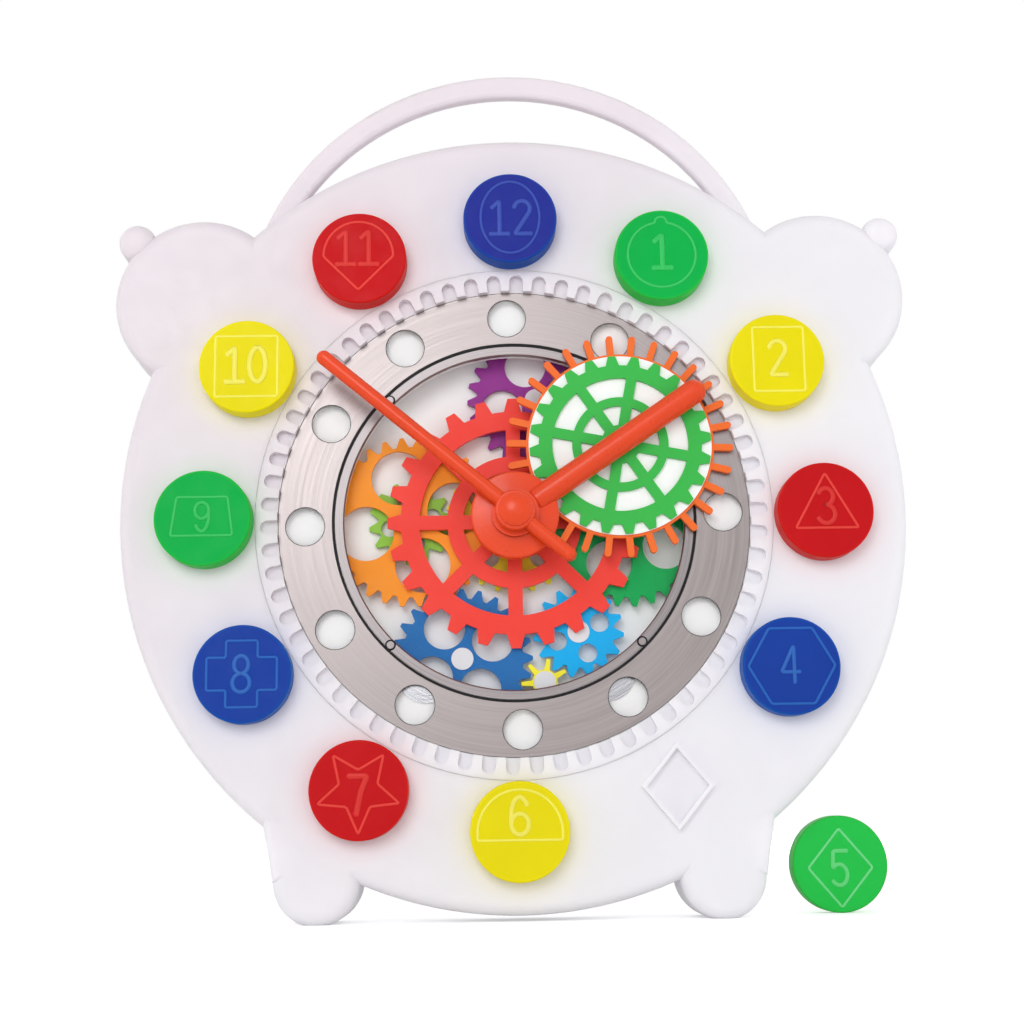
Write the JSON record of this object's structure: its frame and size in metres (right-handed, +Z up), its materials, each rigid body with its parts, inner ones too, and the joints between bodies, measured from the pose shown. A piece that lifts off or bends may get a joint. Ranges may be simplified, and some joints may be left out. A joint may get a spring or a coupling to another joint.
{
  "type": "teaching clock",
  "caption": "Round child's teaching clock with ears, handle and feet, removable number discs on shaped seats, and hands linked by a planet wheel on a ring gear over a gear window.",
  "frame": {"origin": "on the surface the clock stands on, under the middle of its footprint", "axes": "+Z up, the dial faces -Y, +X to the reader's right"},
  "size_m": [0.308, 0.052, 0.3337],
  "materials": {
    "frosted_white": "frosted translucent white moulding",
    "inner_white": "plain white moulding",
    "smoked_clear": "clear moulding, moulded teeth",
    "brushed_ring": "brushed round the dial",
    "brushed_bezel": "satin ring",
    "screw_steel": "bright plated steel",
    "black_trim": "black ring",
    "clear_window": "clear window",
    "hand_red": "glossy orange-red",
    "gear_red": "moulded",
    "gear_orange": "moulded",
    "gear_light_green": "moulded",
    "gear_purple": "moulded",
    "gear_yellow": "moulded",
    "gear_blue": "moulded",
    "gear_cyan": "moulded",
    "gear_dark_green": "moulded",
    "gear_green": "moulded",
    "disc_green": "smooth number disc",
    "disc_yellow": "smooth number disc",
    "disc_red": "smooth number disc",
    "disc_blue": "smooth number disc",
    "disc_navy": "smooth number disc"
  },
  "bodies": {
    "case": {"front_shell": "frosted_white", "rear_cover": "frosted_white", "case_screws": "screw_steel", "ring_gear": "smoked_clear", "steel_ring": "brushed_ring", "gasket_ring": "black_trim", "window_frame": "inner_white", "window_pane": "clear_window", "window_bezel": "brushed_bezel", "bezel_rivets": "screw_steel", "stepped_pads": "brushed_bezel", "movement_tray": "inner_white", "post_caps": "inner_white", "tray_screws": "screw_steel", "pane_bush": "inner_white", "tray_bush": "inner_white"},
    "minute": {"minute_arbor": "screw_steel", "arbor_clip": "screw_steel", "sun_pinion": "gear_yellow", "minute_hand": "hand_red", "hand_cap": "hand_red", "red_gear": "gear_red", "yellow_gear": "gear_yellow"},
    "hour": {"hour_hand": "hand_red", "planet_pin": "screw_steel", "planet_clip": "screw_steel"},
    "planet": {"planet_wheel": "gear_orange", "planet_face": "inner_white", "green_wheel": "gear_green"},
    "orange_pair": {"orange_gear": "gear_orange", "light_green_gear": "gear_light_green"},
    "purple": {"purple_gear": "gear_purple"},
    "blue": {"blue_gear": "gear_blue"},
    "small_yellow": {"small_yellow_gear": "gear_yellow"},
    "cyan": {"cyan_gear": "gear_cyan"},
    "dark_green": {"dark_green_gear": "gear_dark_green"},
    "disc_1": {"number_1": "disc_green"},
    "disc_2": {"number_2": "disc_yellow"},
    "disc_3": {"number_3": "disc_red"},
    "disc_4": {"number_4": "disc_blue"},
    "disc_5": {"number_5": "disc_green"},
    "disc_6": {"number_6": "disc_yellow"},
    "disc_7": {"number_7": "disc_red"},
    "disc_8": {"number_8": "disc_blue"},
    "disc_9": {"number_9": "disc_green"},
    "disc_10": {"number_10": "disc_yellow"},
    "disc_11": {"number_11": "disc_red"},
    "disc_12": {"number_12": "disc_navy"}
  },
  "joints": [
    {"name": "minute_hand_turn", "type": "hinge", "parent": "case", "child": "minute", "pos_m": [0, 0.01005, 0.149], "axis": [0, 1, 0], "continuous": true},
    {"name": "hour_hand_turn", "type": "hinge", "parent": "case", "child": "hour", "pos_m": [0, -0.00855, 0.149], "axis": [0, 1, 0], "continuous": true},
    {"name": "planet_turn", "type": "hinge", "parent": "hour", "child": "planet", "pos_m": [0.04081, -0.00595, 0.1767], "axis": [0, 1, 0], "continuous": true},
    {"name": "orange_pair_turn", "type": "hinge", "parent": "case", "child": "orange_pair", "pos_m": [-0.03988, 0.01005, 0.15011], "axis": [0, 1, 0], "continuous": true},
    {"name": "purple_turn", "type": "hinge", "parent": "case", "child": "purple", "pos_m": [0.00919, 0.01005, 0.19856], "axis": [0, 1, 0], "continuous": true},
    {"name": "blue_turn", "type": "hinge", "parent": "case", "child": "blue", "pos_m": [-0.02049, 0.01005, 0.09683], "axis": [0, 1, 0], "continuous": true},
    {"name": "small_yellow_turn", "type": "hinge", "parent": "case", "child": "small_yellow", "pos_m": [0.01069, 0.01005, 0.08751], "axis": [0, 1, 0], "continuous": true},
    {"name": "cyan_turn", "type": "hinge", "parent": "case", "child": "cyan", "pos_m": [0.02381, 0.01005, 0.10652], "axis": [0, 1, 0], "continuous": true},
    {"name": "dark_green_turn", "type": "hinge", "parent": "case", "child": "dark_green", "pos_m": [0.04403, 0.01005, 0.14689], "axis": [0, 1, 0], "continuous": true},
    {"name": "disc_1_pull", "type": "slide", "parent": "case", "child": "disc_1", "axis": [0, -1, 0], "range_m": [0, 0.04]},
    {"name": "disc_2_pull", "type": "slide", "parent": "case", "child": "disc_2", "axis": [0, -1, 0], "range_m": [0, 0.04]},
    {"name": "disc_3_pull", "type": "slide", "parent": "case", "child": "disc_3", "axis": [0, -1, 0], "range_m": [0, 0.04]},
    {"name": "disc_4_pull", "type": "slide", "parent": "case", "child": "disc_4", "axis": [0, -1, 0], "range_m": [0, 0.04]},
    {"name": "disc_5_lift", "type": "slide", "parent": "case", "child": "disc_5", "axis": [0.6, 0, 0.8], "range_m": [0, 0.06]},
    {"name": "disc_6_pull", "type": "slide", "parent": "case", "child": "disc_6", "axis": [0, -1, 0], "range_m": [0, 0.04]},
    {"name": "disc_7_pull", "type": "slide", "parent": "case", "child": "disc_7", "axis": [0, -1, 0], "range_m": [0, 0.04]},
    {"name": "disc_8_pull", "type": "slide", "parent": "case", "child": "disc_8", "axis": [0, -1, 0], "range_m": [0, 0.04]},
    {"name": "disc_9_pull", "type": "slide", "parent": "case", "child": "disc_9", "axis": [0, -1, 0], "range_m": [0, 0.04]},
    {"name": "disc_10_pull", "type": "slide", "parent": "case", "child": "disc_10", "axis": [0, -1, 0], "range_m": [0, 0.04]},
    {"name": "disc_11_pull", "type": "slide", "parent": "case", "child": "disc_11", "axis": [0, -1, 0], "range_m": [0, 0.04]},
    {"name": "disc_12_pull", "type": "slide", "parent": "case", "child": "disc_12", "axis": [0, -1, 0], "range_m": [0, 0.04]}
  ],
  "couplings": [
    {"joint": "hour_hand_turn", "follows": "minute_hand_turn", "ratio": 0.083333},
    {"joint": "planet_turn", "follows": "minute_hand_turn", "ratio": -0.18333},
    {"joint": "orange_pair_turn", "follows": "minute_hand_turn", "ratio": -1.7143},
    {"joint": "purple_turn", "follows": "minute_hand_turn", "ratio": -1},
    {"joint": "blue_turn", "follows": "minute_hand_turn", "ratio": 2.1429},
    {"joint": "small_yellow_turn", "follows": "minute_hand_turn", "ratio": -7.3469},
    {"joint": "cyan_turn", "follows": "minute_hand_turn", "ratio": 3.4286},
    {"joint": "dark_green_turn", "follows": "minute_hand_turn", "ratio": -1.8367}
  ]
}
